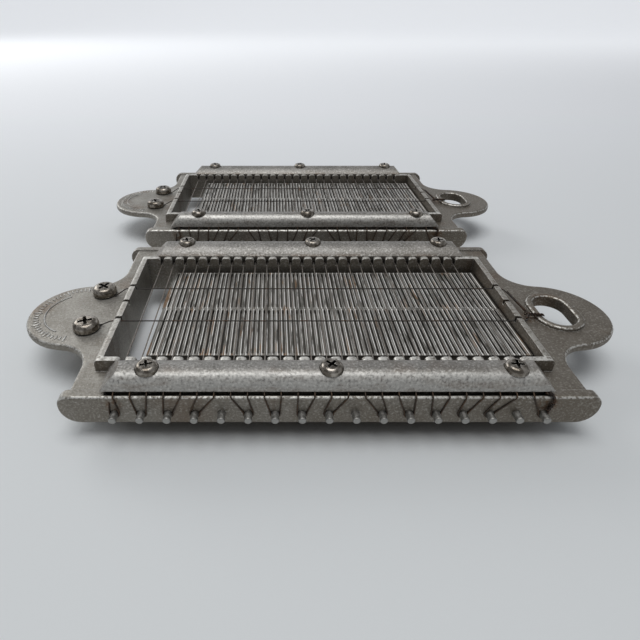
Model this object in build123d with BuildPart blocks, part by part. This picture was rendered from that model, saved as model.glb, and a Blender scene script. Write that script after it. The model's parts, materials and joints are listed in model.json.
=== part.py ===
"""A matched pair of wire butter slicers, one behind the other, each lying over its ribbed bed.

X runs along a slicer, from the ear with the two anchor screws to the ear with the finger hole.
Y runs from the front slicer to the rear one, and Z up from the table that the beds stand on.
The origin is on the table, midway between the two slicers. Each slicer is drawn about its own
centre on the table, and both copies are placed at the end.
"""
from build123d import *
import math
import os

# The pair, in millimetres. The near slicer leans forward on its bed.
SLICER_SPACING = 125.0
NEAR_LEAN = 1.8

# The comb: one wire in each notch.
WIRE_COUNT = 26
WIRE_PITCH = 5.08
COMB_CENTRE_X = -2.0
OPENING_DEPTH = 67.0
LEFT_LAND = 6.1
RIGHT_LAND = 8.6
NOTCH_WIDTH = 1.3
NOTCH_DEPTH = 3.2
TOOTH_ROUNDING = 1.3
LONG_WALL = 2.0
END_WALL = 2.8
END_NOTCH_WIDTH = 1.5
END_NOTCH_DEPTH = 1.9
WALL_ROUNDING = 1.5

# The casting: a plate on two flanges, with a deep sleeve round the opening.
TABLE_GAP = 7.6
FLANGE_HEIGHT = 11.1
FLANGE_THICKNESS = 3.6
FLANGE_OVERHANG = 3.3
FLANGE_TOP_ROUND = 4.0
FLANGE_BOTTOM_ROUND = 6.4
RIM_HEIGHT = 0.5
FRONT_LEDGE = 1.2
REAR_LEDGE = 6.6
FRONT_LIP = 1.0
TROUGH_DEPTH = 2.2
PLATE_THICKNESS = 3.3
PLATE_MARGIN = 9.35
WALL_RISE = 4.5
EAR_REACH = 9.3
EAR_RADIUS = 20.0
EAR_CENTRE_Y = -1.5
EAR_BLEND = 12.0
EDGE_ROUNDING = 1.2
HOLE_WIDTH = 12.5
HOLE_LENGTH = 19.5
HOLE_BEAD_WIDTH = 2.6
HOLE_BEAD_HEIGHT = 1.3
HOLE_BEAD_ROUNDING = 0.9

# The clamp bars and their screws.
BAR_OVERHANG = 5.5
BAR_WIDTH = 11.4
BAR_INNER_HEIGHT = 2.8
BAR_CREST = 6.0
BAR_EDGE = 1.2
BAR_END_SLOPE = 5.5
SEAT_WIDTH = 8.9
SCREW_PITCHES = 11
SCREW_HEAD_RADIUS = 3.55
SCREW_HEAD_HEIGHT = 2.4
SCREW_SHANK_RADIUS = 1.5
SCREW_INSET = 7.2
SCREW_SPOT_DEPTH = 0.9

# The anchor screws that hold the two lengthwise wires, from the middle of the plain ear.
ANCHOR_SHIFT = 4.9
ANCHOR_Y = 12.0
ANCHOR_HEAD_RADIUS = 4.65
ANCHOR_HEAD_HEIGHT = 3.2
ANCHOR_SHANK_RADIUS = 1.8

# Screw heads, as shares of the head's radius, the recess's length and the head's height.
HEAD_ROUND_SHARE = 0.42
RECESS_SHARE = 0.55
RECESS_WIDTH_SHARE = 0.24
RECESS_DEPTH_SHARE = 0.6

# The wires and the pins that they turn round. A tail is given from the outside of the end wall.
WIRE_RADIUS = 0.225
PIN_COUNT = 17
PIN_PITCH = 8.25
PIN_RADIUS = 1.225
PIN_REACH = 3.5
PIN_DROP = 6.5
PIN_DOME = 0.5
TIE_LEAN = 0.9
TIE_RISE = 4.6
RAIL_RUN = 1.2
TAIL_START = (5.3, -5.3)
TAIL_END = (10.2, -5.6)

# The ribbed bed, in two halves, as gaps inside the opening.
BED_LEFT_GAP = 11.8
BED_RIGHT_GAP = 0.8
BED_FRONT_GAP = 5.0
BED_REAR_GAP = 2.9
BED_SEAM = 0.2
BED_FRONT_SHIFT = 0.3
RIB_PITCH = 1.76
GROOVE_WIDTH = 0.8
GROOVE_DEPTH = 1.6
GROOVE_END = 0.9

# Clearances.
WIRE_CLEARANCE = 0.04
BED_CLEARANCE = 1.24
BAR_CLEARANCE = 0.1
PIN_CLEARANCE = 0.02
SHANK_CLEARANCE = 0.05

# Heights.
flange_top = TABLE_GAP + FLANGE_HEIGHT
plate_top = flange_top - RIM_HEIGHT
plate_bottom = plate_top - PLATE_THICKNESS
tooth_top = plate_top + WALL_RISE
notch_bottom = tooth_top - NOTCH_DEPTH
cross_wire_z = notch_bottom + WIRE_CLEARANCE + WIRE_RADIUS
bar_bottom = cross_wire_z + WIRE_RADIUS + WIRE_CLEARANCE
bar_top = bar_bottom + BAR_CREST
bar_seat = bar_top - SCREW_SPOT_DEPTH
end_notch_bottom = tooth_top - END_NOTCH_DEPTH
long_wire_z = end_notch_bottom + WIRE_CLEARANCE + WIRE_RADIUS
bed_top = cross_wire_z - WIRE_RADIUS - BED_CLEARANCE
pin_z = flange_top - PIN_DROP

# Places along and across.
comb_half = WIRE_PITCH * (WIRE_COUNT - 1) / 2
opening_left = COMB_CENTRE_X - comb_half - LEFT_LAND
opening_right = COMB_CENTRE_X + comb_half + RIGHT_LAND
opening_centre = (opening_left + opening_right) / 2
opening_length = opening_right - opening_left
opening_half = OPENING_DEPTH / 2
wall_outer = opening_half + LONG_WALL
long_wire_y = OPENING_DEPTH / 6
bar_inner = wall_outer + BAR_CLEARANCE
bar_outer = bar_inner + BAR_WIDTH
screw_y = bar_inner + SCREW_INSET
screw_x = [
    COMB_CENTRE_X + WIRE_PITCH / 2 + WIRE_PITCH * SCREW_PITCHES * step for step in (-1, 0, 1)
]
bar_centre = screw_x[1] - WIRE_PITCH / 4
bar_length = 2 * (comb_half + BAR_OVERHANG)
plate_half_length = opening_length / 2 + PLATE_MARGIN
ear_x = plate_half_length + EAR_REACH
anchor_x = ANCHOR_SHIFT - ear_x
face_y = {-1: bar_outer + FRONT_LEDGE, 1: bar_outer + REAR_LEDGE}
lip = {-1: FRONT_LIP, 1: FLANGE_THICKNESS}
bed_left = opening_left + BED_LEFT_GAP
bed_right = opening_right - BED_RIGHT_GAP
bed_end = {-1: BED_FRONT_GAP - opening_half, 1: opening_half - BED_REAR_GAP}
bed_seam_y = (bed_end[-1] + bed_end[1]) / 2
pin_x = [PIN_PITCH * (index - (PIN_COUNT - 1) / 2) for index in range(PIN_COUNT)]
wire_x = [COMB_CENTRE_X - comb_half + WIRE_PITCH * index for index in range(WIRE_COUNT)]

# Which pin each wire turns round: pairs share a pin, and the strand's two ends are tied in front.
FRONT_PINS = [0, 1, 1, 2, 2, 3, 3, 5, 5, 6, 6, 7, 7, 8, 8, 10, 10, 11, 11, 12, 12, 13, 13, 14, 14, 16]
REAR_PINS = [0, 0, 2, 2, 3, 3, 4, 4, 5, 5, 7, 7, 8, 8, 9, 9, 10, 10, 11, 11, 13, 13, 14, 14, 15, 15]


def pan_screw(head_radius, head_height, shank_radius, shank_length, turn):
    """A pan-head screw with a cross recess, its head's underside at the origin."""
    recess_length = 2 * RECESS_SHARE * head_radius
    recess_width = RECESS_WIDTH_SHARE * recess_length
    with BuildPart() as screw:
        with BuildSketch():
            Circle(head_radius)
        extrude(amount=head_height)
        fillet(screw.faces().sort_by(Axis.Z)[-1].edges(), HEAD_ROUND_SHARE * head_radius)
        with BuildSketch(Plane.XY.offset(head_height)):
            Rectangle(recess_length, recess_width, rotation=turn)
            Rectangle(recess_length, recess_width, rotation=turn + 90)
        extrude(amount=-RECESS_DEPTH_SHARE * head_height, mode=Mode.SUBTRACT)
        with BuildSketch():
            Circle(shank_radius)
        extrude(amount=-shank_length)
    return screw.part


# The casting: a plate with two ears, a deep flange front and rear, and the comb walls.
with BuildPart() as casting:
    with BuildSketch(Plane.XY.offset(plate_bottom)) as outline:
        with Locations((0, (face_y[1] - face_y[-1]) / 2)):
            Rectangle(2 * plate_half_length, face_y[-1] + face_y[1] - FLANGE_THICKNESS)
        with Locations((ear_x, EAR_CENTRE_Y), (-ear_x, EAR_CENTRE_Y)):
            Circle(EAR_RADIUS)
        fillet(outline.vertices().filter_by(lambda corner: abs(corner.Y) < 1.2 * EAR_RADIUS), EAR_BLEND)
    extrude(amount=PLATE_THICKNESS)
    side_edges = (
        casting.edges()
        .filter_by(lambda edge: abs(edge.center().Z - plate_bottom - PLATE_THICKNESS / 2) > 1)
        .filter_by(lambda edge: abs(edge.center().X) > plate_half_length - 1)
    )
    fillet(side_edges, EDGE_ROUNDING)
    for side in (-1, 1):
        face_plane = Plane(
            origin=(0, side * face_y[side], TABLE_GAP), x_dir=(-side, 0, 0), z_dir=(0, side, 0)
        )
        flange_end = plate_half_length + FLANGE_OVERHANG
        with BuildPart(mode=Mode.PRIVATE) as flange:
            with BuildSketch(face_plane):
                with BuildLine():
                    FilletPolyline(
                        (-flange_end, 0),
                        (flange_end, 0),
                        (flange_end, FLANGE_HEIGHT),
                        (-flange_end, FLANGE_HEIGHT),
                        radius=[FLANGE_BOTTOM_ROUND, FLANGE_BOTTOM_ROUND, FLANGE_TOP_ROUND, FLANGE_TOP_ROUND],
                        close=True,
                    )
                make_face()
            extrude(amount=-FLANGE_THICKNESS)
            front = flange.faces().filter_by(Axis.Y).sort_by(Axis.Y)[0 if side < 0 else -1]
            fillet(front.edges(), EDGE_ROUNDING)
        add(flange.part)
    with BuildSketch(Plane.XY.offset(TABLE_GAP)):
        with Locations((opening_centre, 0)):
            Rectangle(opening_length + 2 * END_WALL, OPENING_DEPTH + 2 * LONG_WALL)
    extrude(amount=tooth_top - TABLE_GAP)
    top_edges = casting.faces().sort_by(Axis.Z)[-1].edges().filter_by(Axis.Y)
    fillet(top_edges, WALL_ROUNDING)
    with BuildSketch(Plane.XY.offset(plate_top)):
        with Locations((bar_centre, 0)):
            Rectangle(bar_length - 2 * BAR_END_SLOPE, 2 * (wall_outer + SEAT_WIDTH))
    extrude(amount=notch_bottom - plate_top)
    with BuildSketch(Plane.XY.offset(plate_top)):
        with Locations((ear_x, EAR_CENTRE_Y)):
            SlotOverall(HOLE_LENGTH + 2 * HOLE_BEAD_WIDTH, HOLE_WIDTH + 2 * HOLE_BEAD_WIDTH, rotation=90)
    extrude(amount=HOLE_BEAD_HEIGHT)
    bead_edges = casting.edges().filter_by(
        lambda edge: abs(edge.center().Z - plate_top - HOLE_BEAD_HEIGHT) < 0.01
        and edge.center().X > plate_half_length - HOLE_BEAD_WIDTH
    )
    fillet(bead_edges, HOLE_BEAD_ROUNDING)
    with BuildSketch(Plane.XY.offset(TABLE_GAP)):
        with Locations((opening_centre, 0)):
            Rectangle(opening_length, OPENING_DEPTH)
        with Locations((ear_x, EAR_CENTRE_Y)):
            SlotOverall(HOLE_LENGTH, HOLE_WIDTH, rotation=90)
    extrude(amount=tooth_top - TABLE_GAP, mode=Mode.SUBTRACT)
    hole_edges = casting.edges().filter_by(
        lambda edge: abs(edge.center().Z - plate_top - HOLE_BEAD_HEIGHT) < 0.01
        and abs(edge.center().X - ear_x) < HOLE_WIDTH / 2 + 0.1
        and abs(edge.center().Y - EAR_CENTRE_Y) < HOLE_LENGTH / 2 + 0.1
    )
    fillet(hole_edges, HOLE_BEAD_ROUNDING)
    # One cut through both long walls makes a notch and rounds the teeth beside it.
    mouth = NOTCH_WIDTH / 2 + TOOTH_ROUNDING
    shoulder = NOTCH_DEPTH - TOOTH_ROUNDING
    bulge = TOOTH_ROUNDING * math.sqrt(0.5)
    notch_plane = Plane(origin=(0, -wall_outer, notch_bottom), x_dir=(1, 0, 0), z_dir=(0, -1, 0))
    with BuildSketch(notch_plane):
        with Locations(*[(x, 0) for x in wire_x]):
            with BuildSketch(mode=Mode.PRIVATE) as notch:
                with BuildLine():
                    Polyline(
                        (-mouth, NOTCH_DEPTH + 1),
                        (mouth, NOTCH_DEPTH + 1),
                        (mouth, NOTCH_DEPTH),
                    )
                    ThreePointArc(
                        (mouth, NOTCH_DEPTH),
                        (mouth - bulge, shoulder + bulge),
                        (NOTCH_WIDTH / 2, shoulder),
                    )
                    Polyline(
                        (NOTCH_WIDTH / 2, shoulder),
                        (NOTCH_WIDTH / 2, 0),
                        (-NOTCH_WIDTH / 2, 0),
                        (-NOTCH_WIDTH / 2, shoulder),
                    )
                    ThreePointArc(
                        (-NOTCH_WIDTH / 2, shoulder),
                        (bulge - mouth, shoulder + bulge),
                        (-mouth, NOTCH_DEPTH),
                    )
                    Line((-mouth, NOTCH_DEPTH), (-mouth, NOTCH_DEPTH + 1))
                make_face()
            add(notch.sketch)
    extrude(amount=-2 * wall_outer, mode=Mode.SUBTRACT)
    with BuildSketch(Plane.YZ.offset(opening_left - END_WALL)):
        with Locations(*[(y, tooth_top) for y in (-long_wire_y, 0, long_wire_y)]):
            Rectangle(END_NOTCH_WIDTH, 2 * END_NOTCH_DEPTH)
    extrude(amount=opening_length + 2 * END_WALL, mode=Mode.SUBTRACT)
    for side in (-1, 1):
        trough_inner = wall_outer + SEAT_WIDTH
        trough_outer = face_y[side] - lip[side]
        with BuildSketch(Plane.XY.offset(plate_top - TROUGH_DEPTH)):
            with Locations((bar_centre, side * (trough_inner + trough_outer) / 2)):
                Rectangle(bar_length - 2 * RAIL_RUN, trough_outer - trough_inner)
        extrude(amount=2 * TROUGH_DEPTH, mode=Mode.SUBTRACT)
        pin_plane = Plane(origin=(0, side * face_y[side], pin_z), x_dir=(1, 0, 0), z_dir=(0, side, 0))
        with BuildSketch(pin_plane):
            with Locations(*[(x, 0) for x in pin_x]):
                Circle(PIN_RADIUS + PIN_CLEARANCE)
        extrude(amount=-FLANGE_THICKNESS, mode=Mode.SUBTRACT)
        with Locations(*[(x, side * screw_y, notch_bottom) for x in screw_x]):
            Hole(SCREW_SHANK_RADIUS + SHANK_CLEARANCE, depth=notch_bottom - plate_bottom)
    with Locations((anchor_x, -ANCHOR_Y, plate_top), (anchor_x, ANCHOR_Y, plate_top)):
        Hole(ANCHOR_SHANK_RADIUS + SHANK_CLEARANCE, depth=PLATE_THICKNESS)


def clamp_bar(side):
    """A clamp bar: crested over its three screws, steep on its outer side, with sloping ends."""
    with BuildPart() as bar:
        inner_top = (side * bar_inner, bar_bottom + BAR_INNER_HEIGHT)
        outer_top = (side * bar_outer, bar_bottom + BAR_EDGE)
        crest = (side * screw_y, bar_top)
        with BuildSketch(Plane.YZ.offset(bar_centre - bar_length / 2)):
            with BuildLine():
                Polyline(outer_top, (outer_top[0], bar_bottom), (inner_top[0], bar_bottom), inner_top)
                TangentArc(crest, inner_top, tangent=(-side, 0))
                TangentArc(crest, outer_top, tangent=(side, 0))
            make_face()
        extrude(amount=bar_length)
        for end in (-1, 1):
            foot = bar_centre + end * bar_length / 2
            with BuildSketch(Plane.XZ):
                corners = [
                    (foot, bar_bottom),
                    (foot - end * BAR_END_SLOPE, bar_bottom + BAR_CREST),
                    (foot + end, bar_bottom + BAR_CREST),
                    (foot + end, bar_bottom),
                ]
                with BuildLine():
                    Polyline(*corners, close=True)
                make_face()
            extrude(amount=2 * bar_outer, both=True, mode=Mode.SUBTRACT)
        with BuildSketch(Plane.XY.offset(bar_seat)):
            with Locations(*[(x, side * screw_y) for x in screw_x]):
                Circle(SCREW_HEAD_RADIUS + BAR_CLEARANCE)
        extrude(amount=BAR_CREST, mode=Mode.SUBTRACT)
        with Locations(*[(x, side * screw_y, bar_top) for x in screw_x]):
            Hole(SCREW_SHANK_RADIUS + SHANK_CLEARANCE)
    return bar.part


def bar_screws(side):
    """The three screws of one clamp bar."""
    shank_length = bar_seat - plate_bottom
    with BuildPart() as screws:
        for index, x in enumerate(screw_x):
            with Locations((x, side * screw_y, bar_seat)):
                turn = 17 + 33 * index
                add(pan_screw(SCREW_HEAD_RADIUS, SCREW_HEAD_HEIGHT, SCREW_SHANK_RADIUS, shank_length, turn))
    return screws.part


def anchor_screws():
    """The two screws on the plain ear, their heads raised by the wire that they clamp."""
    head_bottom = plate_top + 2 * (WIRE_RADIUS + WIRE_CLEARANCE)
    with BuildPart() as screws:
        for index, y in enumerate((-ANCHOR_Y, ANCHOR_Y)):
            with Locations((anchor_x, y, head_bottom)):
                add(
                    pan_screw(
                        ANCHOR_HEAD_RADIUS,
                        ANCHOR_HEAD_HEIGHT,
                        ANCHOR_SHANK_RADIUS,
                        head_bottom - plate_bottom,
                        20 + 35 * index,
                    )
                )
    return screws.part


def wire_pins(side):
    """The row of pins in one flange."""
    root = face_y[side] - FLANGE_THICKNESS
    tip = face_y[side] + PIN_REACH
    root_plane = Plane(origin=(0, side * root, pin_z), x_dir=(1, 0, 0), z_dir=(0, side, 0))
    with BuildPart() as pins:
        with BuildSketch(root_plane):
            with Locations(*[(x, 0) for x in pin_x]):
                Circle(PIN_RADIUS)
        extrude(amount=tip - root)
        tips = pins.faces().filter_by(Axis.Y).filter_by(lambda face: abs(face.center().Y) > tip - 0.1)
        fillet(tips.edges(), PIN_DOME)
    return pins.part


def wire_half(side, x, pin, hand):
    """One end of a cross wire: from its notch, under the bar, over the flange and round its pin."""
    loop = PIN_RADIUS + WIRE_CLEARANCE + WIRE_RADIUS
    y = side * (face_y[side] + WIRE_CLEARANCE + WIRE_RADIUS)
    points = []
    radii = []
    aside = SCREW_SHANK_RADIUS + 2 * WIRE_RADIUS
    if min(abs(x - screw) for screw in screw_x) < aside:
        points.append((x, side * wall_outer, cross_wire_z))
        points.append((x - aside, side * (screw_y - aside), cross_wire_z))
        points.append((x - aside, side * (screw_y + aside), cross_wire_z))
        radii += [aside / 2, aside / 2, aside / 2]
    points.append((x, side * bar_outer, cross_wire_z))
    points.append((x, y, flange_top + WIRE_CLEARANCE + WIRE_RADIUS))
    points.append((pin + hand * loop, y, pin_z + 0.3 * loop))
    points.append((pin + hand * loop, y, pin_z - loop))
    points.append((pin, y, pin_z - loop))
    radii += [BAR_WIDTH / 10, EDGE_ROUNDING, loop / 3, loop - WIRE_CLEARANCE]
    return points, radii


def sweep_wire(points, radii):
    """Sweeps the wire along straight runs joined by arcs."""
    with BuildPart() as wire:
        with BuildLine() as route:
            FilletPolyline(*points, radius=radii)
        with BuildSketch(Plane(origin=route.line @ 0, z_dir=route.line % 0)):
            Circle(WIRE_RADIUS)
        sweep()
    return wire.part


def cross_wires():
    """The 26 runs of one strand, turned round pins front and rear, with both ends tied in front."""
    runs = []
    for index, x in enumerate(wire_x):
        front_hand = 1 if index % 2 == 0 else -1
        front, front_radii = wire_half(-1, x, pin_x[FRONT_PINS[index]], front_hand)
        rear, rear_radii = wire_half(1, x, pin_x[REAR_PINS[index]], -front_hand)
        # The two halves meet in the straight run across the opening.
        runs.append(sweep_wire(front[::-1] + rear, front_radii[::-1] + rear_radii))
    for index in (0, WIRE_COUNT - 1):
        hand = -1 if index == 0 else 1
        pin = pin_x[FRONT_PINS[index]]
        tied, tied_radii = wire_half(-1, wire_x[index], pin, hand)
        loose_end = (pin + hand * TIE_LEAN, tied[-1][1], pin_z + TIE_RISE)
        runs.append(sweep_wire([loose_end] + tied[-3:], tied_radii[-2:]))
    with BuildPart() as strand:
        add(runs)
    return strand.part


def long_wires():
    """The two lengthwise wires, from the anchor screws to a tail by the finger hole."""
    hook = ANCHOR_SHANK_RADIUS + WIRE_CLEARANCE + WIRE_RADIUS
    low = plate_top + WIRE_CLEARANCE + WIRE_RADIUS
    wall_x = opening_right + END_WALL
    strands = []
    for side in (-1, 1):
        inner_y = side * (ANCHOR_Y - hook)
        wire_y = side * long_wire_y
        apart = side * (WIRE_RADIUS + WIRE_CLEARANCE / 2)
        points = [
            (anchor_x - hook, side * ANCHOR_Y, low),
            (anchor_x - hook, inner_y, low),
            (anchor_x + ANCHOR_HEAD_RADIUS, inner_y, low),
            (opening_left - END_WALL - RAIL_RUN, wire_y, long_wire_z),
            (wall_x + RAIL_RUN, wire_y, long_wire_z),
            (wall_x + TAIL_START[0], TAIL_START[1] + apart, low + HOLE_BEAD_HEIGHT + WIRE_RADIUS),
            (wall_x + TAIL_END[0], TAIL_END[1] + apart, low + HOLE_BEAD_HEIGHT),
        ]
        strands.append(sweep_wire(points, [hook - WIRE_CLEARANCE, 2.0, 2.0, 1.5, 1.5]))
    with BuildPart() as pair:
        add(strands)
    return pair.part


def bed_half(side):
    """One half of the ribbed bed, its grooves closed and rounded at both ends."""
    shift = BED_FRONT_SHIFT if side < 0 else 0
    width = bed_right - bed_left
    depth = side * (bed_end[side] - bed_seam_y) - BED_SEAM / 2
    centre = ((bed_left + bed_right) / 2 + shift, bed_end[side] - side * depth / 2)
    grooves = int(width / RIB_PITCH) - 1
    with BuildPart() as bed:
        with BuildSketch():
            with Locations(centre):
                Rectangle(width, depth)
        extrude(amount=bed_top)
        with BuildSketch(Plane.XY.offset(bed_top)):
            with Locations(centre):
                with GridLocations(RIB_PITCH, 0, grooves, 1):
                    SlotOverall(depth - 2 * GROOVE_END, GROOVE_WIDTH, rotation=90)
        extrude(amount=-GROOVE_DEPTH, mode=Mode.SUBTRACT)
    return bed.part


PIECES = {
    "frame": casting.part,
    "front_clamp_bar": clamp_bar(-1),
    "rear_clamp_bar": clamp_bar(1),
    "front_bar_screws": bar_screws(-1),
    "rear_bar_screws": bar_screws(1),
    "anchor_screws": anchor_screws(),
    "front_wire_pins": wire_pins(-1),
    "rear_wire_pins": wire_pins(1),
    "cross_wires": cross_wires(),
    "long_wires": long_wires(),
    "bed_front_half": bed_half(-1),
    "bed_rear_half": bed_half(1),
}



def place(side, name):
    """Where a piece of the near (-1) or far (1) slicer goes; only the near slicer itself leans."""
    lean = NEAR_LEAN if side < 0 and not name.startswith("bed") else 0
    centre_y = (side * SLICER_SPACING - face_y[1] + face_y[-1]) / 2
    return Location((0, centre_y, plate_top), (lean, 0, 0)) * Location((0, 0, -plate_top))


os.makedirs("parts", exist_ok=True)
for slicer, side in (("near", -1), ("far", 1)):
    for name, piece in PIECES.items():
        placed = piece.moved(place(side, name))
        placed.label = f"{slicer}_{name}"
        export_step(placed, f"parts/{placed.label}.step")
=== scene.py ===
"""Dresses a matched pair of cast wire butter slicers, each lying over its ribbed bed."""

import json
import logging
import math
from dataclasses import dataclass, field
from enum import Enum

import bpy
from mathutils import Matrix, Vector

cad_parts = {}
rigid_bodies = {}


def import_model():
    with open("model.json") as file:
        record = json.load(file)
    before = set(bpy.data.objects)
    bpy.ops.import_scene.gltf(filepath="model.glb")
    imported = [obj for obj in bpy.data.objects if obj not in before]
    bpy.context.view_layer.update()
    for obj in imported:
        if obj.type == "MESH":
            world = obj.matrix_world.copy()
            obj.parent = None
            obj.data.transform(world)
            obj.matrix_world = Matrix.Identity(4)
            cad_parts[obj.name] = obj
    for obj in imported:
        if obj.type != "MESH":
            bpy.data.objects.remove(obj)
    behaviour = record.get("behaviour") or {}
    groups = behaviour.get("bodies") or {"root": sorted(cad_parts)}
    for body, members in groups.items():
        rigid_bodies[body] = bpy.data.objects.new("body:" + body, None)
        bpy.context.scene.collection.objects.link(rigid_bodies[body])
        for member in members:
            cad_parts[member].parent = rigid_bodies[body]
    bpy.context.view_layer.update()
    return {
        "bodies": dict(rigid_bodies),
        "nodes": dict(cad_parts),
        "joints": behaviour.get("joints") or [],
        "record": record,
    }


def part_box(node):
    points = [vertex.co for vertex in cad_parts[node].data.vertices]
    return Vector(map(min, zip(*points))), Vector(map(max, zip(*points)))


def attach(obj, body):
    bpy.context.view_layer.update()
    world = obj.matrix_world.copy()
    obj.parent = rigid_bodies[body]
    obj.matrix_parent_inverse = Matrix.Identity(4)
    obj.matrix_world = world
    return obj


LOG = logging.getLogger("slicers")
MM = 0.001
PLATE_TOP_MM = 18.2
NEAR_CENTRE_MM = -65.2
FAR_CENTRE_MM = 59.8


class Pattern(Enum):
    """Which way a blotch pattern is stretched over a surface."""

    EVEN = (1.0, 1.0, 1.0)
    STREAKED_DOWN = (1.0, 1.0, 0.22)
    ALONG_RIBS = (1.0, 0.12, 1.0)
    ALONG_BARS = (0.3, 1.0, 1.0)


class Sock:
    """A node's socket that takes Python operators, each of which adds a Math node."""

    def __init__(self, sheet: "NodeSheet", socket: bpy.types.NodeSocket) -> None:
        """Wraps a socket of the given sheet."""
        self.sheet = sheet
        self.socket = socket

    def _math(self, operation: str, first: object, second: object = 0.0) -> "Sock":
        """Adds a Math node.

        Args:
            operation: the node's operation.
            first: its first value or link.
            second: its second value or link.

        Returns:
            The node's result.
        """
        return self.sheet.node("ShaderNodeMath", {"operation": operation}, {0: first, 1: second})

    def __add__(self, other: object) -> "Sock":
        """Adds."""
        return self._math("ADD", self, other)

    def __radd__(self, other: object) -> "Sock":
        """Adds, reflected."""
        return self._math("ADD", other, self)

    def __sub__(self, other: object) -> "Sock":
        """Subtracts."""
        return self._math("SUBTRACT", self, other)

    def __rsub__(self, other: object) -> "Sock":
        """Subtracts, reflected."""
        return self._math("SUBTRACT", other, self)

    def __mul__(self, other: object) -> "Sock":
        """Multiplies."""
        return self._math("MULTIPLY", self, other)

    def __rmul__(self, other: object) -> "Sock":
        """Multiplies, reflected."""
        return self._math("MULTIPLY", other, self)

    def __truediv__(self, other: object) -> "Sock":
        """Divides."""
        return self._math("DIVIDE", self, other)

    def __abs__(self) -> "Sock":
        """Drops the sign."""
        return self._math("ABSOLUTE", self)

    def __mod__(self, other: object) -> "Sock":
        """Gives the remainder."""
        return self._math("FLOORED_MODULO", self, other)

    def __lt__(self, other: object) -> "Sock":
        """Is 1 where less."""
        return self._math("LESS_THAN", self, other)

    def __gt__(self, other: object) -> "Sock":
        """Is 1 where greater."""
        return self._math("GREATER_THAN", self, other)

    def wave(self, operation: str) -> "Sock":
        """Takes the sine or cosine."""
        return self._math(operation, self)

    def band(self, low: float, high: float) -> "Sock":
        """Maps low to 0 and high to 1, smoothly and clamped.

        Args:
            low: the value that becomes 0.
            high: the value that becomes 1.

        Returns:
            The mapped value.
        """
        settings = {"interpolation_type": "SMOOTHSTEP", "clamp": True}
        return self.sheet.node("ShaderNodeMapRange", settings, {0: self, 1: low, 2: high, 3: 0.0, 4: 1.0})


class NodeSheet:
    """A node tree, written as expressions."""

    def __init__(self, tree: bpy.types.NodeTree) -> None:
        """Starts on the given tree."""
        self.tree = tree

    def node(self, kind: str, settings: dict, values: dict, output: object = 0) -> Sock:
        """Adds a node, sets it up and fills its sockets.

        Args:
            kind: the node's type.
            settings: attributes that are set first.
            values: values or links by socket name or number.
            output: the output's name or number.

        Returns:
            The output, wrapped.
        """
        made = self.tree.nodes.new(kind)
        for name, value in settings.items():
            setattr(made, name, value)
        for name, value in values.items():
            if isinstance(value, Sock):
                self.tree.links.new(value.socket, made.inputs[name])
            else:
                made.inputs[name].default_value = value
        return Sock(self, made.outputs[output])

    def output_of(self, one: Sock, output: object) -> Sock:
        """Another output of the node that a socket belongs to."""
        return Sock(self, one.socket.node.outputs[output])


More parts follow.
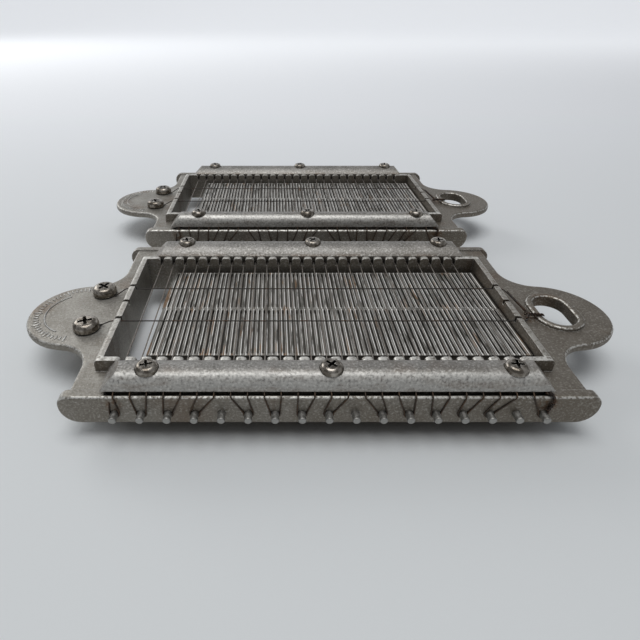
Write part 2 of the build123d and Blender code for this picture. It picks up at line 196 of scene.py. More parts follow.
class MaterialSheet(NodeSheet):
    """A material and its node tree."""

    def __init__(self, name: str) -> None:
        """Starts an empty material of the given name."""
        self.material = bpy.data.materials.new(name)
        self.material.use_nodes = True
        super().__init__(self.material.node_tree)
        self.tree.nodes.clear()
        spot = self.node("ShaderNodeTexCoord", {}, {}, "Object")
        self.place = self.node("ShaderNodeVectorMath", {"operation": "SCALE"}, {0: spot, "Scale": 1 / MM})

    def noise(self, size_mm: float, detail: float = 3.0, pattern: Pattern = Pattern.EVEN, shift: float = 0.0) -> Sock:
        """A noise from about 0.3 to 0.7.

        Args:
            size_mm: the size of its blotches.
            detail: its octaves.
            pattern: how it is stretched.
            shift: an offset that makes it differ from another of the same size.

        Returns:
            The noise's factor.
        """
        offset = (shift, 0.7 * shift, 1.3 * shift)
        values = {"Vector": self.place, "Scale": pattern.value, "Location": offset}
        where = self.node("ShaderNodeMapping", {}, values)
        return self.node("ShaderNodeTexNoise", {}, {"Vector": where, "Scale": 1 / size_mm, "Detail": detail})

    def axis(self, name: str) -> Sock:
        """One coordinate of the surface point, in millimetres."""
        return self.node("ShaderNodeSeparateXYZ", {}, {0: self.place}, name)

    def slicer_y(self) -> Sock:
        """Millimetres to the back from the middle of the slicer that the point is on."""
        across = self.axis("Y")
        return across - (NEAR_CENTRE_MM + (FAR_CENTRE_MM - NEAR_CENTRE_MM) * (across > 0.0))

    def facing(self, name: str) -> Sock:
        """One component of the surface's true normal."""
        normal = self.node("ShaderNodeNewGeometry", {}, {}, "True Normal")
        return self.node("ShaderNodeSeparateXYZ", {}, {0: normal}, name)

    def slant(self) -> Sock:
        """A mask of what faces up and out, such as a rounded upper edge: 0.5 at 45 degrees."""
        up = self.facing("Z")
        return up * self.node("ShaderNodeMath", {"operation": "SQRT"}, {0: abs(1.0 - up * up)})

    def near_to(self, spot_mm: tuple, reach_mm: float) -> Sock:
        """A mask that is 1 at a spot and 0 past its reach.

        Args:
            spot_mm: the spot.
            reach_mm: how far the mask reaches.

        Returns:
            The mask.
        """
        values = {0: self.place, 1: spot_mm}
        distance = self.node("ShaderNodeVectorMath", {"operation": "DISTANCE"}, values, "Value")
        return distance.band(reach_mm, 0.25 * reach_mm)

    def rounded(self, radius_mm: float) -> Sock:
        """The normal that the surface would have with its edges rounded."""
        return self.node("ShaderNodeBevel", {"samples": 6}, {"Radius": radius_mm * MM})

    def worn_edge(self, radius_mm: float) -> Sock:
        """How much the surface turns within a radius: 0 on a flat face, near 1 on a sharp edge.

        Args:
            radius_mm: the radius looked at.

        Returns:
            The edge mask.
        """
        flat = self.node("ShaderNodeNewGeometry", {}, {}, "True Normal")
        values = {0: self.rounded(radius_mm), 1: flat}
        same = self.node("ShaderNodeVectorMath", {"operation": "DOT_PRODUCT"}, values, "Value")
        return (1.0 - same).band(0.02, 0.25)

    def crevice(self, reach_mm: float, low: float = 0.25, high: float = 0.85) -> Sock:
        """How far a point is shut in by what stands round it, from 0 to 1.

        Args:
            reach_mm: how far it looks.
            low: the share of blocked air that still counts as open.
            high: the share of blocked air that counts as shut.

        Returns:
            The crevice mask.
        """
        open_air = self.node("ShaderNodeAmbientOcclusion", {"samples": 6}, {"Distance": reach_mm * MM}, "AO")
        return (1.0 - open_air).band(low, high)

    def mix(self, amount: object, first: object, second: object) -> Sock:
        """Mixes two colours.

        Args:
            amount: 0 for the first and 1 for the second.
            first: a colour or a link.
            second: a colour or a link.

        Returns:
            The mixed colour.
        """
        return self.node("ShaderNodeMix", {"data_type": "RGBA"}, {0: amount, 6: first, 7: second}, 2)

    def bump(self, height: Sock, depth_mm: float, under: object = None) -> Sock:
        """A bumped normal.

        Args:
            height: the height, from 0 to 1.
            depth_mm: how deep it goes.
            under: the normal that it rides on.

        Returns:
            The normal.
        """
        values = {"Height": height, "Distance": depth_mm * MM, "Strength": 1.0}
        if under is not None:
            values["Normal"] = under
        return self.node("ShaderNodeBump", {}, values)

    def close(self, values: dict) -> bpy.types.Material:
        """Ends the tree with its shader.

        Args:
            values: the Principled shader's values or links.

        Returns:
            The material.
        """
        shader = self.node("ShaderNodeBsdfPrincipled", {}, values)
        output = self.tree.nodes.new("ShaderNodeOutputMaterial")
        self.tree.links.new(shader.socket, output.inputs["Surface"])
        return self.material


class GrowthSheet(NodeSheet):
    """A Geometry Nodes tree with named sizes, which grows a piece and leaves it a plain mesh."""

    def __init__(self, name: str, sizes: dict) -> None:
        """Starts a tree.

        Args:
            name: the tree's name.
            sizes: the names of its inputs and their values.
        """
        super().__init__(bpy.data.node_groups.new(name, "GeometryNodeTree"))
        self.sizes = sizes
        self.tree.interface.new_socket("Geometry", in_out="INPUT", socket_type="NodeSocketGeometry")
        self.keys = {}
        for size in sizes:
            socket = self.tree.interface.new_socket(size, in_out="INPUT", socket_type="NodeSocketFloat")
            self.keys[size] = socket.identifier
        self.tree.interface.new_socket("Geometry", in_out="OUTPUT", socket_type="NodeSocketGeometry")
        self.entry = self.tree.nodes.new("NodeGroupInput")

    def given(self, name: str) -> Sock:
        """One of the tree's inputs."""
        return Sock(self, self.entry.outputs[name])

    def vector(self, x: object, y: object, z: object) -> Sock:
        """A vector of three values or links."""
        return self.node("ShaderNodeCombineXYZ", {}, {0: x, 1: y, 2: z})

    def scaled(self, vector: Sock, factor: object) -> Sock:
        """A vector times a number."""
        return self.node("ShaderNodeVectorMath", {"operation": "SCALE"}, {0: vector, "Scale": factor})

    def grow(self, name: str, seed: bpy.types.Mesh, shape: Sock, finish: bpy.types.Material) -> bpy.types.Object:
        """Ends the tree and turns its result into an object with a plain mesh.

        Args:
            name: the object's name.
            seed: the mesh that the tree starts from.
            shape: the geometry that the tree makes.
            finish: its material.

        Returns:
            The object, linked to the scene.
        """
        real = self.node("GeometryNodeRealizeInstances", {}, {0: shape})
        dressed = self.node("GeometryNodeSetMaterial", {}, {"Geometry": real, "Material": finish})
        output = self.tree.nodes.new("NodeGroupOutput")
        self.tree.links.new(dressed.socket, output.inputs["Geometry"])
        piece = bpy.data.objects.new(name, seed)
        bpy.context.collection.objects.link(piece)
        modifier = piece.modifiers.new("grow", "NODES")
        modifier.node_group = self.tree
        for size, value in self.sizes.items():
            modifier[self.keys[size]] = value
        evaluated = piece.evaluated_get(bpy.context.evaluated_depsgraph_get())
        mesh = bpy.data.meshes.new_from_object(evaluated)
        piece.modifiers.clear()
        piece.data = mesh
        if not mesh.materials:
            mesh.materials.append(finish)
        mesh.shade_smooth()
        return piece


@dataclass(frozen=True)
class CastAluminium:
    """Old sand-cast aluminium: a sandy grain and edges rubbed bright, with painted highlights on up-and-out slopes,
    raised tops and the bars' crests, painted light on the bars' outward slopes, and painted shade on faces turned to
    the front or back and in its corners, mixed with grime.
    """

    name: str
    dull: tuple = (0.275, 0.258, 0.228, 1)
    pale: tuple = (0.42, 0.403, 0.368, 1)
    # dark brown, for the darker grain, the darkening towards +X and the painted shade on faces turned to the front or
    # back
    tarnish_and_shade: tuple = (0.165, 0.139, 0.108, 1)
    bright: tuple = (0.78, 0.765, 0.72, 1)
    # near-black, for dark sand grains and for painted shade in corners mixed with grime
    grime_and_shade: tuple = (0.022, 0.019, 0.016, 1)
    rust: tuple = (0.15, 0.092, 0.052, 1)
    grain_mm: float = 0.5
    grain_depth_mm: float = 0.1
    stain_share: float = 0.45
    # how far the metal darkens and browns towards +X
    right_darkening_share: float = 0.75
    nook_share: float = 0.9
    # how far worn edges and the painted highlight on up-and-out slopes lighten the metal
    wear_and_highlight_share: float = 0.85
    edge_speckle_mm: float = 0.9
    # how far the painted highlight on the bars' crests lightens them
    crest_share: float = 0.0
    sand_share: float = 0.2
    # how far the painted highlight on raised tops lightens them
    raised_share: float = 0.95
    # how much of the painted highlight on up-and-out slopes is used
    slope_share: float = 1.0
    # pale colour of the painted light on the bars' outward slopes
    painted_front_light: tuple = (0.55, 0.54, 0.52, 1)
    rusty_spots: tuple = ()

    def make(self) -> bpy.types.Material:
        """Builds the material."""
        sheet = MaterialSheet(self.name)
        blotch = sheet.noise(9.0, 4.0)
        cloud = sheet.noise(34.0, 3.0, shift=17.0)
        speck = sheet.noise(self.grain_mm, 2.0)
        colour = sheet.mix((0.6 * blotch + 0.4 * cloud).band(0.38, 0.66), self.dull, self.pale)
        # Darker and browner towards +X, blotched by the large cloud.
        toward_right = (0.006 * sheet.axis("X") + cloud).band(0.25, 1.05)
        outer_face = abs(sheet.facing("Y")).band(0.55, 0.95)
        colour = sheet.mix(self.right_darkening_share * toward_right, colour, self.tarnish_and_shade)
        # Painted shade: faces turned to the front or back are mixed halfway to the dark brown.
        colour = sheet.mix(0.5 * outer_face, colour, self.tarnish_and_shade)
        colour = sheet.mix(0.35 * speck.band(0.52, 0.7), colour, self.tarnish_and_shade)
        colour = sheet.mix(0.14 * speck.band(0.46, 0.3), colour, self.bright)
        stains = sheet.noise(13.0, 5.0, Pattern.STREAKED_DOWN, 41.0).band(0.54, 0.72)
        colour = sheet.mix(self.stain_share * stains, colour, self.rust)
        for spot, reach in self.rusty_spots:
            patch = sheet.near_to(spot, reach) * sheet.noise(1.6, 4.0).band(0.36, 0.56)
            colour = sheet.mix(0.8 * patch, colour, self.rust)
        # Edges rubbed bright by wear, plus a painted highlight on slopes that face up and out, strongest near 45
        # degrees.
        wear_and_highlight = self.slope_share * sheet.slant().band(0.34, 0.49) + sheet.worn_edge(0.5)
        edge = wear_and_highlight.band(0.0, 0.9) * sheet.noise(self.edge_speckle_mm, 4.0, shift=5.0).band(0.4, 0.56)
        colour = sheet.mix(self.wear_and_highlight_share * edge, colour, self.bright)
        # Painted highlight, with some wear: tops facing up, 2.2 to 3.6 mm above the plate, are lightened, most on the
        # comb teeth.
        raised = sheet.axis("Z").band(PLATE_TOP_MM + 2.2, PLATE_TOP_MM + 3.6) * sheet.facing("Z").band(0.15, 0.6)
        raised = raised * sheet.noise(1.3, 4.0, shift=8.0).band(0.3, 0.56)
        raised = raised * (0.4 + 0.6 * abs(sheet.slicer_y()).band(32.6, 33.6))
        colour = sheet.mix(self.raised_share * raised, colour, self.bright)
        if self.crest_share:
            up = sheet.facing("Z")
            outward = (sheet.slicer_y() * sheet.facing("Y")).band(0.0, 6.0)
            # Painted light: slopes turned outwards are lightened in place of light from the front.
            colour = sheet.mix(0.55 * outward * up.band(0.93, 0.8), colour, self.painted_front_light)
            brown = sheet.noise(3.0, 4.0, Pattern.ALONG_BARS, 61.0).band(0.45, 0.62)
            colour = sheet.mix(0.35 * brown * up.band(0.78, 0.66), colour, self.rust)
            # Painted highlight along the bars' crests on outward slopes, broken up by fine noise.
            crest = up.band(0.93, 0.86) * up.band(0.58, 0.76) * sheet.noise(0.7, 4.0, shift=2.0).band(0.38, 0.56)
            colour = sheet.mix(self.crest_share * crest * outward, colour, self.bright)
            # Painted highlight: a broad band about 45.9 mm from each slicer's middle on outward slopes, standing in
            # for a lamp's reflection.
            along_bar = abs(abs(sheet.slicer_y()) - 45.9).band(1.7, 0.2)
            highlight_band = along_bar * outward * sheet.noise(0.9, 4.0, shift=4.0).band(0.3, 0.62)
            colour = sheet.mix(0.75 * highlight_band, colour, self.bright)
        sand = sheet.noise(0.8, 2.0, shift=77.0)
        colour = sheet.mix(self.sand_share * sand.band(0.54, 0.68), colour, self.bright)
        colour = sheet.mix(self.sand_share * sand.band(0.44, 0.3), colour, self.grime_and_shade)
        # Painted shade mixed with grime: corners and recesses shut in by nearby surfaces go near-black.
        nook = self.nook_share * sheet.crevice(3.0)
        colour = sheet.mix(nook, colour, self.grime_and_shade)
        rough = 0.42 + 0.22 * blotch - 0.12 * edge + 0.25 * nook
        pits = sheet.bump(sheet.noise(2.6, 3.0, shift=9.0), 0.09, sheet.rounded(0.35))
        normal = sheet.bump(0.5 * speck + 0.5 * sand, self.grain_depth_mm, pits)
        return sheet.close({"Base Color": colour, "Metallic": 0.8, "Roughness": rough, "Normal": normal})


@dataclass(frozen=True)
class RibbedMetal:
    """The beds: ribs whose edges are rubbed bright and carry a painted highlight, dark grooves and brown spots where
    damp has stood.
    """

    name: str
    middle_mm: float
    rib: tuple = (0.165, 0.155, 0.136, 1)
    pale: tuple = (0.3, 0.286, 0.258, 1)
    # near-white of the rib edges: wear and painted highlight
    wear_and_highlight: tuple = (0.92, 0.9, 0.86, 1)
    valley: tuple = (0.2, 0.188, 0.168, 1)
    rust: tuple = (0.25, 0.135, 0.058, 1)
    pitch_mm: float = 1.76
    groove_width_mm: float = 0.8
    groove_top_mm: float = 18.3
    groove_depth_mm: float = 1.6

    def wear_and_highlight_line(self, sheet: MaterialSheet, from_groove_mm: float, width_mm: float) -> Sock:
        """A soft line along every rib, at a distance from the middle of the groove on its left.

        Args:
            sheet: the material's sheet.
            from_groove_mm: the distance from the groove's middle.
            width_mm: half the line's width.

        Returns:
            The line's mask.
        """
        across = (sheet.axis("X") - (self.middle_mm + self.pitch_mm / 2)) % self.pitch_mm
        return abs(across - from_groove_mm).band(width_mm, 0.4 * width_mm)

    def make(self) -> bpy.types.Material:
        """Builds the material."""
        sheet = MaterialSheet(self.name)
        along = sheet.noise(2.2, 4.0, Pattern.ALONG_RIBS)
        colour = sheet.mix(along.band(0.36, 0.64), self.rib, self.pale)
        spots = sheet.noise(2.6, 3.0, Pattern.ALONG_RIBS, 23.0).band(0.56, 0.63)
        patch = sheet.noise(11.0, 3.0, shift=31.0).band(0.44, 0.56)
        colour = sheet.mix(0.75 * spots * patch * sheet.facing("Z").band(0.2, 0.6), colour, self.rust)
        # Wear and painted highlight: a bright line along each rib's right edge and a fainter, narrower one along its
        # left, as light from one side would give.
        edge_mm = self.groove_width_mm / 2 + 0.12
        right = self.wear_and_highlight_line(sheet, self.pitch_mm - edge_mm, 0.3)
        left = self.wear_and_highlight_line(sheet, edge_mm, 0.16)
        broken = sheet.noise(1.2, 3.0, Pattern.ALONG_RIBS, 3.0).band(0.34, 0.5)
        edge = (right + 0.4 * left) * broken * (sheet.axis("Z") > self.groove_top_mm - 0.1)
        colour = sheet.mix(0.95 * edge, colour, self.wear_and_highlight)
        depth = (self.groove_top_mm - sheet.axis("Z")).band(0.45, self.groove_depth_mm)
        colour = sheet.mix(0.95 * depth, colour, self.valley)
        normal = sheet.bump(sheet.noise(0.6, 3.0), 0.07, sheet.rounded(0.4))
        rough = 0.42 + 0.3 * depth + 0.2 * spots
        metal = 0.8 - 0.7 * edge
        return sheet.close({"Base Color": colour, "Metallic": metal, "Roughness": rough, "Normal": normal})


@dataclass(frozen=True)
class TarnishedSteel:
    """Screws: brown-grey steel with a soft shine and recesses turned black by painted shade."""

    name: str
    dark: tuple = (0.15, 0.13, 0.106, 1)
    light: tuple = (0.43, 0.395, 0.35, 1)
    rim: tuple = (0.78, 0.76, 0.72, 1)
    # near-black of the painted shade in the recesses
    recess_shade: tuple = (0.008, 0.007, 0.006, 1)

    def make(self) -> bpy.types.Material:
        """Builds the material."""
        sheet = MaterialSheet(self.name)
        blotch = sheet.noise(2.0, 4.0)
        colour = sheet.mix(blotch.band(0.38, 0.66), self.dark, self.light)
        edge = sheet.worn_edge(0.25) * sheet.noise(0.9, 3.0, shift=7.0).band(0.4, 0.6)
        colour = sheet.mix(0.8 * edge, colour, self.rim)
        # Painted shade: recesses shut in by the head go near-black.
        nook = sheet.crevice(1.6, 0.34, 0.72)
        colour = sheet.mix(0.97 * nook, colour, self.recess_shade)
        rough = 0.14 + 0.25 * blotch + 0.4 * nook
        normal = sheet.bump(sheet.noise(0.5, 3.0), 0.025, sheet.rounded(0.2))
        return sheet.close({"Base Color": colour, "Metallic": 0.92, "Roughness": rough, "Normal": normal})


@dataclass(frozen=True)
class CastPin:
    """The pins: dull shafts with ends ground bright, darkened by painted shade where nearby parts shut them in."""

    name: str
    shaft: tuple = (0.24, 0.235, 0.22, 1)
    end: tuple = (0.4, 0.393, 0.372, 1)
    # dark brown of the painted shade where a pin is shut in
    brown: tuple = (0.07, 0.055, 0.042, 1)

    def make(self) -> bpy.types.Material:
        """Builds the material."""
        sheet = MaterialSheet(self.name)
        ground = abs(sheet.facing("Y")).band(0.35, 0.9)
        blotch = sheet.noise(0.8, 3.0)
        colour = sheet.mix(blotch.band(0.4, 0.64), self.shaft, self.end)
        colour = sheet.mix(0.7 * ground, colour, self.end)
        # Painted shade: where nearby parts shut the pin in, it darkens to dark brown.
        colour = sheet.mix(0.75 * sheet.crevice(1.5), colour, self.brown)
        normal = sheet.bump(sheet.noise(0.35, 2.0), 0.05)
        rough = 0.36 + 0.25 * blotch
        return sheet.close({"Base Color": colour, "Metallic": 0.85, "Roughness": rough, "Normal": normal})


@dataclass(frozen=True)
class OldWire:
    """Old steel wire, nearly black, with patches of rust."""

    name: str
    steel: tuple = (0.05, 0.045, 0.041, 1)
    rust: tuple = (0.09, 0.05, 0.03, 1)
    rust_from: float = 0.52
    metallic: float = 0.75
    wiped: tuple = (0.62, 0.6, 0.56, 1)
    wiped_share: float = 0.0

    def make(self) -> bpy.types.Material:
        """Builds the material."""
        sheet = MaterialSheet(self.name)
        patch = sheet.noise(3.0, 4.0)
        colour = sheet.mix(0.75 * patch.band(self.rust_from, self.rust_from + 0.12), self.steel, self.rust)
        if self.wiped_share:
            inside = abs(sheet.slicer_y()).band(36.0, 34.0)
            colour = sheet.mix(self.wiped_share * inside, colour, self.wiped)
        normal = sheet.bump(sheet.noise(0.25, 2.0), 0.02)
        rough = 0.34 + 0.3 * patch
        return sheet.close({"Base Color": colour, "Metallic": self.metallic, "Roughness": rough, "Normal": normal})


@dataclass
class Studio:
    """The camera, the lamps, and a pale table that runs back into a pale backdrop."""

    focal_px: float = 495.46
    frame_px: float = 640.0
    centre_px: tuple = (273.01, 310.44)
    place_mm: tuple = (-17.17, -226.0, 118.48)
    pitch_deg: float = 31.97
    table_colour: tuple = (0.75, 0.775, 0.785, 1)
    shade: tuple = (0.155, 0.128, 0.098, 1)
    # pale colour of the painted light: towards the back, in the gap beside each bed and in the glow
    painted_light: tuple = (0.93, 0.95, 0.98, 1)
    table_half: float = 3.0

    def camera(self) -> None:
        """Sets the camera up as the photograph's was."""
        data = bpy.data.cameras.new("camera")
        data.sensor_width = 36.0
        data.lens = self.focal_px / self.frame_px * data.sensor_width
        data.shift_x = 0.5 - self.centre_px[0] / self.frame_px
        data.shift_y = self.centre_px[1] / self.frame_px - 0.5
        data.clip_start = 0.005
        camera = bpy.data.objects.new("camera", data)
        camera.location = Vector(self.place_mm) * MM
        camera.rotation_euler = (math.radians(90 - self.pitch_deg), 0, 0)
        bpy.context.collection.objects.link(camera)
        bpy.context.scene.camera = camera

    def lamp(self, name: str, place: tuple, aim: tuple, size: float, power: float, tint: tuple) -> None:
        """Adds a square area lamp.

        Args:
            name: its name.
            place: where it is, in metres.
            aim: the point that it faces.
            size: the length of its side.
            power: its power in watts.
            tint: its colour.
        """
        data = bpy.data.lights.new(name, "AREA")
        data.size = size
        data.energy = power
        data.color = tint
        lamp = bpy.data.objects.new(name, data)
        lamp.location = place
        lamp.rotation_euler = (Vector(aim) - Vector(place)).to_track_quat("-Z", "Y").to_euler()
        bpy.context.collection.objects.link(lamp)

    def lights(self) -> None:
        """Lights the table from the back left and above, with a low fill all round."""
        self.lamp("window", (-1.2, 1.1, 0.9), (-0.4, 0.5, 0), 0.9, 6.5, (1, 0.998, 0.99))
        self.lamp("ceiling", (-0.1, -0.2, 1.3), (-0.05, 0.0, 0), 0.9, 8.0, (0.995, 0.998, 1))
        world = bpy.data.worlds.new("plain")
        world.use_nodes = True
        world.node_tree.nodes["Background"].inputs["Color"].default_value = (0.8, 0.82, 0.85, 1)
        world.node_tree.nodes["Background"].inputs["Strength"].default_value = 0.32
        bpy.context.scene.world = world

    def table(self) -> None:
        """Makes the table and the backdrop as one swept sheet, with painted shadow round the slicers and painted
        light at the back, in the gap at the left end of each bed and as a glow.
        """
        rise = 0.9
        bend = 1.2
        back = 2.4
        steps = 16
        turns = [math.pi / 2 * step / steps for step in range(steps + 1)]
        profile = [(-self.table_half, 0.0)]
        profile += [(back + bend * math.sin(turn), bend * (1 - math.cos(turn))) for turn in turns]
        profile += [(back + bend, bend + rise)]
        points = [(x, y, z) for y, z in profile for x in (-self.table_half, self.table_half)]
        faces = [(2 * i, 2 * i + 1, 2 * i + 3, 2 * i + 2) for i in range(len(profile) - 1)]
        mesh = bpy.data.meshes.new("table")
        mesh.from_pydata(points, [], faces)
        mesh.shade_smooth()
        table = bpy.data.objects.new("table", mesh)
        bpy.context.collection.objects.link(table)
        sheet = MaterialSheet("pale_table")
        tooth = sheet.bump(sheet.noise(1.1, 2.0), 0.02)
        # Painted light: the sheet lightens towards the back.
        far = sheet.axis("Y").band(-150.0, 500.0)
        colour = sheet.mix(far, self.table_colour, self.painted_light)
        # Painted light in the gap at the left end of each bed: this strip keeps less painted shadow and is lightened.
        strip = sheet.axis("X").band(-78.0, -68.0) * sheet.axis("X").band(-52.0, -62.0)
        strip = 0.7 * strip * abs(sheet.slicer_y()).band(38.0, 28.0)
        # Painted shadow: the sheet darkens to warm brown where the slicers shut it in.
        colour = sheet.mix(0.95 * sheet.crevice(24.0, 0.3, 0.95) * (1.0 - strip), colour, self.shade)
        colour = sheet.mix(strip, colour, self.painted_light)
        # Painted light: the sheet glows pale, more towards the back, for every ray but diffuse ones, so the camera
        # and reflections see it brighter.
        path = sheet.node("ShaderNodeLightPath", {}, {}, "Is Diffuse Ray")
        glow = sheet.mix(sheet.axis("Y").band(0.0, 1800.0) * (1.0 - path), (0, 0, 0, 1), self.painted_light)
        values = {"Base Color": colour, "Roughness": 0.7, "Normal": tooth}
        values.update({"Emission Color": glow, "Emission Strength": 0.5})
        mesh.materials.append(sheet.close(values))

    def build(self) -> None:
        """Builds the whole studio."""
        self.camera()
        self.lights()
        self.table()
        bpy.context.scene.view_settings.view_transform = "Standard"


@dataclass
class Slicer:
    """One slicer's own place, with the small pieces that its frame carries."""

    name: str
    centre_mm: float
    lean_deg: float
    strand_radius_mm: float = 0.225
    splice_mm: tuple = ((75.2, 9.4, 20.85), (78.0, -5.0, 19.9))
    tail_mm: tuple = ((76.6, -4.4, 19.9), (78.4, -5.3, 20.0), (80.6, -5.4, 19.95), (83.4, -5.6, 19.8))
    pigtail_mm: tuple = (
        (66.4, -49.1, 13.8),
        (66.9, -49.1, 15.3),
        (67.4, -49.0, 16.9),
        (67.5, -48.8, 18.2),
        (67.2, -48.0, 19.3),
        (66.4, -47.2, 19.6),
        (65.5, -46.8, 19.2),
    )
    ear_mm: tuple = (-89.5, -1.5)
    band_radius_mm: float = 16.6
    line_radius_mm: float = 13.6

    def matrix(self) -> Matrix:
        """Takes the slicer's own millimetres to the scene's metres."""
        lean = Matrix.Rotation(math.radians(self.lean_deg), 4, "X")
        there = Matrix.Translation((0, self.centre_mm, PLATE_TOP_MM))
        return Matrix.Scale(MM, 4) @ there @ lean @ Matrix.Translation((0, 0, -PLATE_TOP_MM))

    def settle(self, piece: bpy.types.Object) -> None:
        """Moves a finished mesh to its place and lets it ride on the slicer.

        Args:
            piece: the piece, in the slicer's own millimetres.
        """
        piece.data.transform(self.matrix())
        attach(piece, f"{self.name}_slicer")
        LOG.info("%s rides on %s_slicer", piece.name, self.name)

    def twist(self, name: str, path_mm: tuple, apart_mm: float, pitch_mm: float, finish: bpy.types.Material) -> None:
        """Twists two strands of wire round a path.

        Args:
            name: the piece's name.
            path_mm: points along the path.
            apart_mm: how far each strand's middle lies from the path.
            pitch_mm: the length of one turn.
            finish: its material.
        """
        sizes = {"Strand Radius": self.strand_radius_mm, "Apart": apart_mm, "Pitch": pitch_mm, "Step": 0.15}
        sheet = GrowthSheet(name, sizes)
        curve = sheet.node("GeometryNodeMeshToCurve", {}, {"Mesh": Sock(sheet, sheet.entry.outputs["Geometry"])})
        curve = sheet.node("GeometryNodeCurveSplineType", {"spline_type": "CATMULL_ROM"}, {"Curve": curve})
        values = {"Curve": curve, "Length": sheet.given("Step")}
        curve = sheet.node("GeometryNodeResampleCurve", {"mode": "LENGTH"}, values)
        pair = sheet.node("GeometryNodeDuplicateElements", {"domain": "SPLINE"}, {"Geometry": curve, "Amount": 2})
        which = sheet.output_of(pair, "Duplicate Index")
        run = sheet.node("GeometryNodeSplineParameter", {}, {}, "Length")
        turn = run / sheet.given("Pitch") * math.tau + which * math.pi
        normal = sheet.node("GeometryNodeInputNormal", {}, {})
        tangent = sheet.node("GeometryNodeInputTangent", {}, {})
        across = sheet.node("ShaderNodeVectorMath", {"operation": "CROSS_PRODUCT"}, {0: tangent, 1: normal})
        first = sheet.scaled(normal, turn.wave("COSINE") * sheet.given("Apart"))
        second = sheet.scaled(across, turn.wave("SINE") * sheet.given("Apart"))
        offset = sheet.node("ShaderNodeVectorMath", {"operation": "ADD"}, {0: first, 1: second})
        strands = sheet.node("GeometryNodeSetPosition", {}, {"Geometry": pair, "Offset": offset})
        ring = sheet.node("GeometryNodeCurvePrimitiveCircle", {}, {"Radius": sheet.given("Strand Radius"), "Resolution": 8})
        tube = sheet.node(
            "GeometryNodeCurveToMesh", {}, {"Curve": strands, "Profile Curve": ring, "Fill Caps": True}
        )
        seed = bpy.data.meshes.new(name)
        seed.from_pydata(path_mm, [(i, i + 1) for i in range(len(path_mm) - 1)], [])
        self.settle(sheet.grow(name, seed, tube, finish))

    def ear_band(self, finish: bpy.types.Material) -> None:
        """Raises a band of plain ticks and a line inside it round the left ear.

        Args:
            finish: its material.
        """
        sizes = {"Band Radius": self.band_radius_mm, "Line Radius": self.line_radius_mm, "Line Width": 0.32}
        name = f"{self.name}_ear_band"
        sheet = GrowthSheet(name, sizes)
        ticks = 31
        first_turn = math.radians(98)
        sweep = math.radians(168)
        arc = {"Radius": sheet.given("Band Radius"), "Start Angle": first_turn, "Sweep Angle": sweep, "Resolution": ticks}
        spots = sheet.node("GeometryNodeCurveArc", {"mode": "RADIUS"}, arc)
        spots = sheet.node("GeometryNodeCurveToPoints", {"mode": "EVALUATED"}, {"Curve": spots})
        place = sheet.node("GeometryNodeInputPosition", {}, {})
        turned = sheet.node("FunctionNodeAlignRotationToVector", {"axis": "X"}, {"Vector": place})
        number = sheet.node("GeometryNodeInputIndex", {}, {})
        long_one = number % 5.0 < 0.5
        length = 1.1 + 0.8 * long_one
        size = sheet.vector(length, 0.36, 0.3)
        bead = sheet.node("GeometryNodeMeshUVSphere", {}, {"Segments": 10, "Rings": 6, "Radius": 1.0})
        values = {"Points": spots, "Instance": bead, "Rotation": turned, "Scale": size}
        band = sheet.node("GeometryNodeInstanceOnPoints", {}, values)
        line = {"Radius": sheet.given("Line Radius"), "Start Angle": math.radians(125)}
        line.update({"Sweep Angle": math.radians(120), "Resolution": 40})
        inner = sheet.node("GeometryNodeCurveArc", {"mode": "RADIUS"}, line)
        ring = sheet.node("GeometryNodeCurvePrimitiveCircle", {}, {"Radius": sheet.given("Line Width"), "Resolution": 8})
        values = {"Curve": inner, "Profile Curve": ring, "Fill Caps": True}
        ridge = sheet.node("GeometryNodeCurveToMesh", {}, values)
        joined = sheet.tree.nodes.new("GeometryNodeJoinGeometry")
        sheet.tree.links.new(band.socket, joined.inputs[0])
        sheet.tree.links.new(ridge.socket, joined.inputs[0])
        seed = bpy.data.meshes.new(name)
        piece = sheet.grow(name, seed, Sock(sheet, joined.outputs[0]), finish)
        piece.data.transform(Matrix.Translation((*self.ear_mm, PLATE_TOP_MM)))
        self.settle(piece)

    def build(self, wire: bpy.types.Material, cast: bpy.types.Material) -> None:
        """Makes the twisted wire ends and the band on the ear.

        Args:
            wire: the finish of the wire.
            cast: the finish of the band.
        """
        self.twist(f"{self.name}_twisted_tail", self.tail_mm, 0.42, 2.3, wire)
        for side, turn in (("rear", 1), ("front", -1)):
            (x, y, z), (end_x, end_y, end_z) = self.splice_mm
            path = ((x, turn * y, z), ((x + end_x) / 2, (turn * y + end_y) / 2, (z + end_z) / 2), self.splice_mm[1])
            self.twist(f"{self.name}_{side}_splice", path, 0.3, 1.6, wire)
        self.twist(f"{self.name}_pigtail", self.pigtail_mm, 0.3, 2.0, wire)
        self.ear_band(cast)


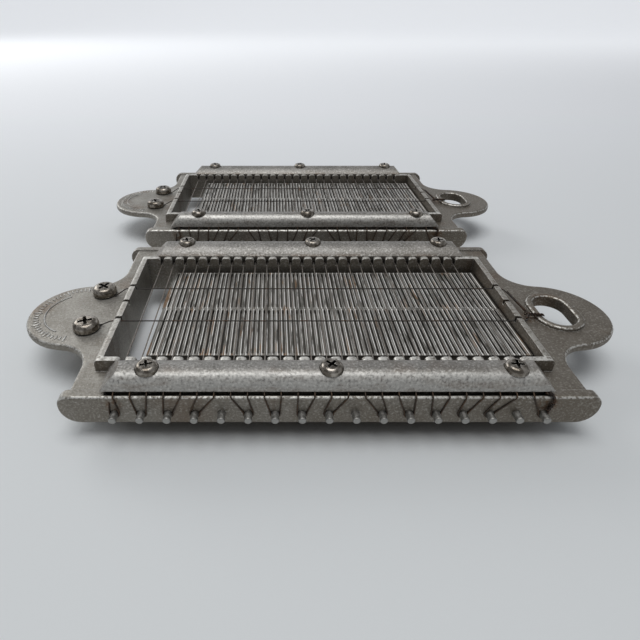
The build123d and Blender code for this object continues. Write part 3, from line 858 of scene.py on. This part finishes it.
@dataclass
class Castings:
    """Gives each CAD node of both slicers its finish, and adds what their frames carry."""

    frame: dict
    slicers: tuple = (Slicer("near", NEAR_CENTRE_MM, 1.8), Slicer("far", FAR_CENTRE_MM, 0.0))
    finishes: dict = field(default_factory=dict)

    def rusty_spots(self) -> tuple:
        """The places where a wire's rust has run onto the frame, with their reach, in millimetres."""
        own = (((-66.0, -48.2, 15.5), 4.0), ((66.5, -48.4, 16.0), 5.0), ((79.0, -5.4, 18.2), 4.5))
        spots = []
        for slicer in self.slicers:
            for spot, reach in own:
                spots.append((tuple(slicer.matrix() @ Vector(spot) / MM), reach))
        return tuple(spots)

    def prepare(self) -> None:
        """Makes each finish once."""
        cast = CastAluminium("cast_frame", rusty_spots=self.rusty_spots()).make()
        bar = CastAluminium(
            "clamp_bar",
            dull=(0.275, 0.264, 0.246, 1),
            pale=(0.41, 0.396, 0.376, 1),
            right_darkening_share=0.3,
            stain_share=0.25,
            wear_and_highlight_share=0.14,
            slope_share=0.2,
            edge_speckle_mm=0.6,
            crest_share=0.1,
            sand_share=0.4,
            raised_share=0.0,
        ).make()
        screw = TarnishedSteel("screw").make()
        wire = OldWire("wire").make()
        pin = CastPin("pin").make()
        beds = {}
        for half in ("front", "rear"):
            low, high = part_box(f"near_bed_{half}_half")
            beds[half] = RibbedMetal(f"ribbed_bed_{half}", (low[0] + high[0]) / 2 / MM).make()
        self.finishes = {
            "frame": cast,
            "front_clamp_bar": bar,
            "rear_clamp_bar": bar,
            "front_bar_screws": screw,
            "rear_bar_screws": screw,
            "anchor_screws": screw,
            "front_wire_pins": pin,
            "rear_wire_pins": pin,
            "cross_wires": OldWire("cross_wire", (0.075, 0.056, 0.043, 1), (0.115, 0.074, 0.048, 1), 0.46, wiped_share=0.3).make(),
            "long_wires": wire,
            "bed_front_half": beds["front"],
            "bed_rear_half": beds["rear"],
        }

    def dress(self) -> None:
        """Puts the finishes on the nodes and makes the added pieces."""
        self.prepare()
        twisted = OldWire("twisted_wire", steel=(0.05, 0.04, 0.034, 1), rust_from=0.44).make()
        raised = CastAluminium(
            "rubbed_band",
            dull=(0.4, 0.395, 0.38, 1),
            pale=(0.66, 0.655, 0.64, 1),
            right_darkening_share=0.2,
            nook_share=0.15,
        ).make()
        for slicer in self.slicers:
            for piece, finish in self.finishes.items():
                node = self.frame["nodes"][f"{slicer.name}_{piece}"]
                for slot in node.material_slots:
                    slot.material = finish
                LOG.info("%s_%s wears %s", slicer.name, piece, finish.name)
            slicer.build(twisted, raised)


def main() -> None:
    """Builds the studio and dresses both slicers."""
    logging.basicConfig(level=logging.INFO, format="%(message)s")
    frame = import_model()
    Studio().build()
    Castings(frame).dress()


if __name__ == "__main__":
    main()
